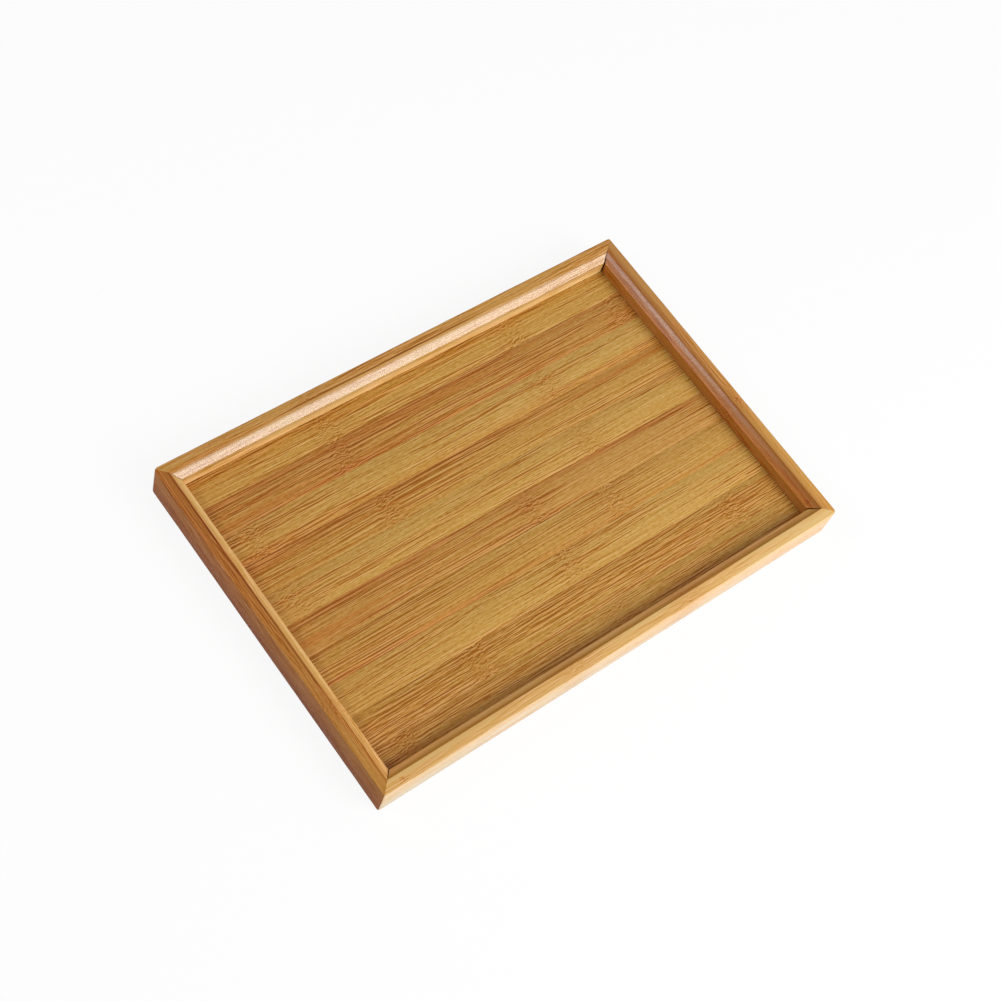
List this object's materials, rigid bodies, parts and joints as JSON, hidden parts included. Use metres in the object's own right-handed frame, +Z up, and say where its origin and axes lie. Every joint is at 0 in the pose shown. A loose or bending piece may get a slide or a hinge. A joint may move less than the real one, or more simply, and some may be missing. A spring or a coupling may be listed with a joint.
{
  "type": "serving tray",
  "caption": "Small rectangular bamboo serving tray: mitred rails with a cove inside the rim, round a floor board of edge-glued strips let into a groove.",
  "frame": {"origin": "on the table, under the middle of the tray", "axes": "+X along the long sides, +Y towards the back rail, +Z up"},
  "size_m": [0.3, 0.2036, 0.0207],
  "materials": {
    "rail_bamboo": "bamboo, clear satin finish",
    "floor_bamboo_gold": "bamboo, pale strip, clear satin finish",
    "floor_bamboo_amber": "bamboo, reddish strip, clear satin finish",
    "floor_bamboo_tan": "bamboo, middle-toned strip, clear satin finish"
  },
  "bodies": {
    "root": {"rail_front": "rail_bamboo", "rail_back": "rail_bamboo", "rail_left": "rail_bamboo", "rail_right": "rail_bamboo", "floor_strip_01": "floor_bamboo_gold", "floor_strip_02": "floor_bamboo_amber", "floor_strip_03": "floor_bamboo_gold", "floor_strip_04": "floor_bamboo_tan", "floor_strip_05": "floor_bamboo_gold", "floor_strip_06": "floor_bamboo_amber", "floor_strip_07": "floor_bamboo_tan", "floor_strip_08": "floor_bamboo_gold", "floor_strip_09": "floor_bamboo_tan", "floor_strip_10": "floor_bamboo_tan"}
  },
  "joints": []
}
